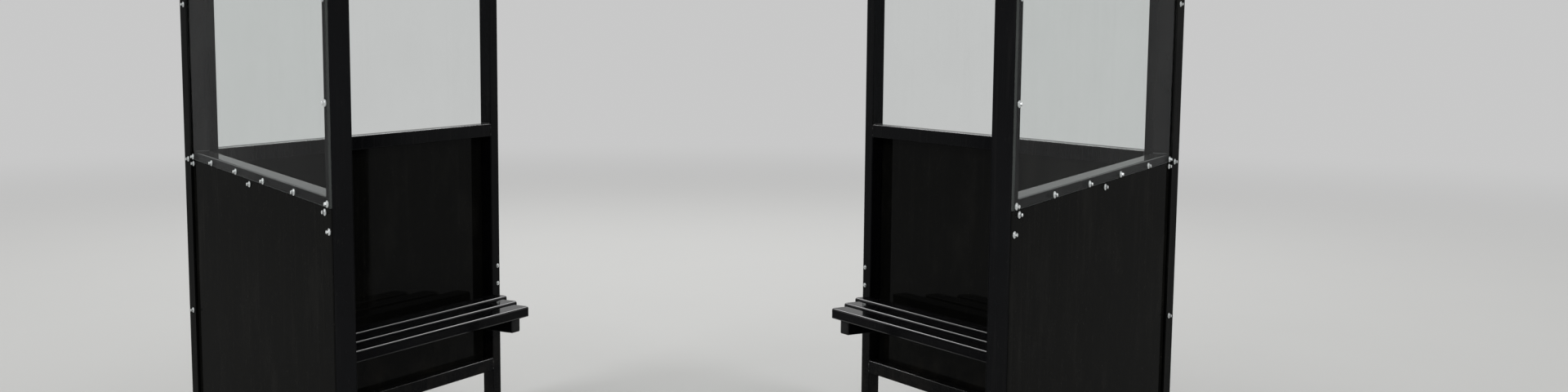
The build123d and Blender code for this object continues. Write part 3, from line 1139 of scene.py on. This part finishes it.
def end_cap(width, depth, thick, rounds, rim):
    """A moulded cap in x and y, rising in z, with rounded corners and a raised face inside its rim."""
    bm = bmesh.new()
    scale = Matrix.Diagonal((width, depth, thick, 1.0))
    bmesh.ops.create_cube(bm, size=1.0, matrix=Matrix.Translation((0.0, 0.0, thick / 2.0)) @ scale)
    for sign_y, radius in rounds.items():
        uprights = []
        for edge in bm.edges:
            first, last = (vertex.co for vertex in edge.verts)
            if abs(first.z - last.z) > thick / 2.0 and first.y * sign_y > 0.0:
                uprights.append(edge)
        bevelled(bm, uprights, radius, CAP_CORNER_STEPS)
    top = max(bm.faces, key=lambda face: face.calc_center_median().z)
    bevelled(bm, list(top.edges), thick * 0.3, CAP_EDGE_STEPS)
    top = max(bm.faces, key=lambda face: (round(face.calc_center_median().z, 5), face.calc_area()))
    bmesh.ops.inset_individual(bm, faces=[top], thickness=rim, depth=0.0)
    bmesh.ops.inset_individual(bm, faces=[top], thickness=CAP_SLOPE, depth=CAP_RISE)
    return bm


def cap_place(side, along, out, up, facing):
    """A matrix for a cap: z out of the tube's end and y up."""
    x_axis = UP.cross(facing)
    turn = Matrix((x_axis, UP, facing)).transposed().to_4x4()
    return Matrix.Translation(side.at(along, out, up)) @ turn


class SHELTER_OT_end_caps(ShelterOperator):
    """Close the ends of the bench bearers and of the seat slats with moulded caps."""

    bl_idname = "shelter.end_caps"
    bl_label = "End caps"

    def execute(self, context):
        for hand in HANDS:
            side = wall_side(f"rear_{hand}")
            middle = (BENCH_RAIL_BASE + BENCH_RAIL_TOP) / 2.0
            places = [
                cap_place(side, along, BEARER_END, middle, -side.outward) for along in BEARER_PLACES
            ]
            rounds = {-1: CORNER_ROUND, 1: CORNER_ROUND}
            cap = end_cap(TUBE, TUBE, BEARER_CAP_THICK, rounds, BEARER_CAP_RIM)
            piece(f"bearer_caps_{hand}", cap, places, cap_plastic())
            middle = (SLAT_BASE + SEAT_HEIGHT) / 2.0
            places = [
                cap_place(side, side.length / 2.0 + end * half, out, middle, side.along * end)
                for out, half in zip(SLAT_MIDDLES, SLAT_HALF_LENGTHS)
                for end in (-1, 1)
            ]
            rounds = {-1: SLAT_CAP_LOWER_ROUND, 1: SLAT_ROUND}
            cap = end_cap(SLAT_WIDTH, SLAT_THICK, SLAT_CAP_THICK, rounds, SLAT_CAP_RIM)
            piece(f"slat_caps_{hand}", cap, places, cap_plastic())
        return {"FINISHED"}


# Stage

CAMERA_PLACE = (0.0601, -4.7877, 1.522)
CAMERA_TURN = (math.pi / 2.0 - 0.112, 0.0, 0.0315)
CAMERA_SHIFT = 0.0870
SENSOR_WIDTH = 36.0
CLIP_START, CLIP_END = 0.05, 200.0

# Each lamp's place, width and depth, and the setting that holds its power
LAMPS = {
    "key_lamp": ((-6.5, -5.0, 7.0), 4.0, 4.0, "key_light"),
    "fill_lamp": ((6.5, -4.5, 6.0), 3.5, 3.5, "fill_light"),
    "back_lamp": ((0.0, 7.5, 6.8), 9.0, 3.0, "back_light"),
}
LAMP_AIM = Vector((0.0, 0.0, 1.0))

# Where the floor starts to fade into the backdrop, and where it has
FADE_NEAR, FADE_FAR = 4.5, 15.0

# The floor's upturned edge, as a share of its radius, and the steps up and round it
COVE_SHARE = 0.12
COVE_STEPS = 12
FLOOR_STEPS = 96


def area_light(name, place, width, depth, power):
    """A large lamp that looks at the middle of the shelter."""
    lamp = bpy.data.lights.new(name, "AREA")
    lamp.shape = "RECTANGLE"
    lamp.size = width
    lamp.size_y = depth
    lamp.energy = power
    made = placed(name, lamp)
    made.location = place
    made.rotation_euler = (Vector(place) - LAMP_AIM).to_track_quat("Z", "Y").to_euler()


def background_rays(nodes):
    """1 for the rays that show a backdrop: the camera's, and those that metal and glass send on."""
    rays = ("Is Camera Ray", "Is Glossy Ray", "Is Transmission Ray")
    seen = [nodes.node("ShaderNodeLightPath", {}, {}, ray) for ray in rays]
    return (seen[0] + seen[1] + seen[2]).above(0.0, 1.0)


def pale_floor(name, colour, backdrop):
    """Pale matt floor with a faint mottle, which fades into an even backdrop."""
    finish = Finish(name)
    mottle = finish.noise(1.6, 4.0, 0.6)
    grain = finish.noise(140.0, 3.0, 0.6)
    tone = finish.blend(mottle * 0.5 + grain * 0.2, [part * 0.96 for part in colour], colour)
    surface = finish.bump(grain, 0.0004, 0.3)
    floor = finish.shader(colour=tone, roughness=0.75, specular=0.2, normal=surface)
    even = finish.node("ShaderNodeEmission", {}, {"Strength": backdrop}, 0)
    far = finish.node("ShaderNodeVectorMath", {"operation": "LENGTH"}, {0: finish.place}, "Value")
    fade = background_rays(finish) * far.above(FADE_NEAR, FADE_FAR)
    return finish.finished(finish.node("ShaderNodeMixShader", {}, {0: fade, 1: floor, 2: even}, 0))


def studio(light, backdrop):
    """A world that lights evenly, and that the camera, metal and glass see as the backdrop."""
    world = bpy.data.worlds.new("studio")
    nodes = Nodes(world)
    strength = light + background_rays(nodes) * (backdrop - light)
    sky = nodes.node("ShaderNodeBackground", {}, {"Strength": strength}, 0)
    nodes.close(sky, "ShaderNodeOutputWorld")
    return world


def lay_floor(stage):
    """The round floor, whose far edge turns up like a cove."""
    cove = stage.floor_radius * COVE_SHARE
    profile = [(0.0, 0.0), (stage.floor_radius, 0.0)]
    for step in range(1, COVE_STEPS + 1):
        angle = math.pi / 2.0 * step / COVE_STEPS
        reach = stage.floor_radius + cove * math.sin(angle)
        profile.append((reach, cove * (1.0 - math.cos(angle))))
    bm = bmesh.new()
    turned(bm, profile, FLOOR_STEPS)
    pale = material("floor_pale", pale_floor, stage.floor, stage.backdrop)
    floor = mesh_object("floor", bm, pale)


def set_camera(focal_length):
    """The camera that looks in at the open front."""
    lens = bpy.data.cameras.new("camera")
    lens.sensor_fit = "HORIZONTAL"
    lens.sensor_width = SENSOR_WIDTH
    lens.lens = focal_length
    lens.shift_x = CAMERA_SHIFT
    lens.clip_start = CLIP_START
    lens.clip_end = CLIP_END
    camera = placed("camera", lens)
    camera.location = CAMERA_PLACE
    camera.rotation_euler = CAMERA_TURN
    bpy.context.scene.camera = camera


class SHELTER_OT_stage(ShelterOperator):
    """Set the floor, the backdrop, the light and the camera."""

    bl_idname = "shelter.stage"
    bl_label = "Stage"

    def execute(self, context):
        stage = context.scene.shelter_stage
        lay_floor(stage)
        context.scene.world = studio(stage.sky, stage.backdrop)
        for name, (place, width, depth, power) in LAMPS.items():
            area_light(name, place, width, depth, getattr(stage, power))
        set_camera(stage.lens)
        context.scene.view_settings.view_transform = "Standard"
        return {"FINISHED"}


# Add-on

OPERATORS = (
    SHELTER_OT_stage,
    SHELTER_OT_frames,
    SHELTER_OT_lower_panels,
    SHELTER_OT_covers,
    SHELTER_OT_slats,
    SHELTER_OT_clear_sheets,
    SHELTER_OT_panel_screws,
    SHELTER_OT_cover_screws,
    SHELTER_OT_roof_screws,
    SHELTER_OT_post_bolts,
    SHELTER_OT_anchor_bolts,
    SHELTER_OT_welds,
    SHELTER_OT_end_caps,
)


SETTINGS = {
    "shelter_finishes": ShelterFinishes,
    "shelter_fixings": ShelterFixings,
    "shelter_stage": ShelterStage,
}


class SHELTER_PT_sidebar(bpy.types.Panel):
    """Settings and steps of the shelter."""

    bl_idname = "SHELTER_PT_sidebar"
    bl_label = "Smoking shelter"
    bl_space_type = "VIEW_3D"
    bl_region_type = "UI"
    bl_category = "Shelter"

    def draw(self, context):
        layout = self.layout
        for name, group in SETTINGS.items():
            box = layout.box()
            for setting in group.__annotations__:
                box.prop(getattr(context.scene, name), setting)
        for operator in OPERATORS:
            layout.operator(operator.bl_idname)


def register():
    """Adds the settings, the operators and the sidebar panel."""
    for name, group in SETTINGS.items():
        bpy.utils.register_class(group)
        setattr(bpy.types.Scene, name, bpy.props.PointerProperty(type=group))
    for operator in OPERATORS:
        bpy.utils.register_class(operator)
    bpy.utils.register_class(SHELTER_PT_sidebar)


def unregister():
    """Takes away what register adds."""
    bpy.utils.unregister_class(SHELTER_PT_sidebar)
    for operator in reversed(OPERATORS):
        bpy.utils.unregister_class(operator)
    for name, group in SETTINGS.items():
        delattr(bpy.types.Scene, name)
        bpy.utils.unregister_class(group)


def main():
    """Dresses the shelter."""
    register()
    bpy.context.view_layer.update()
    for operator in OPERATORS:
        group, name = operator.bl_idname.split(".")
        getattr(getattr(bpy.ops, group), name)()


if __name__ == "__main__":
    main()
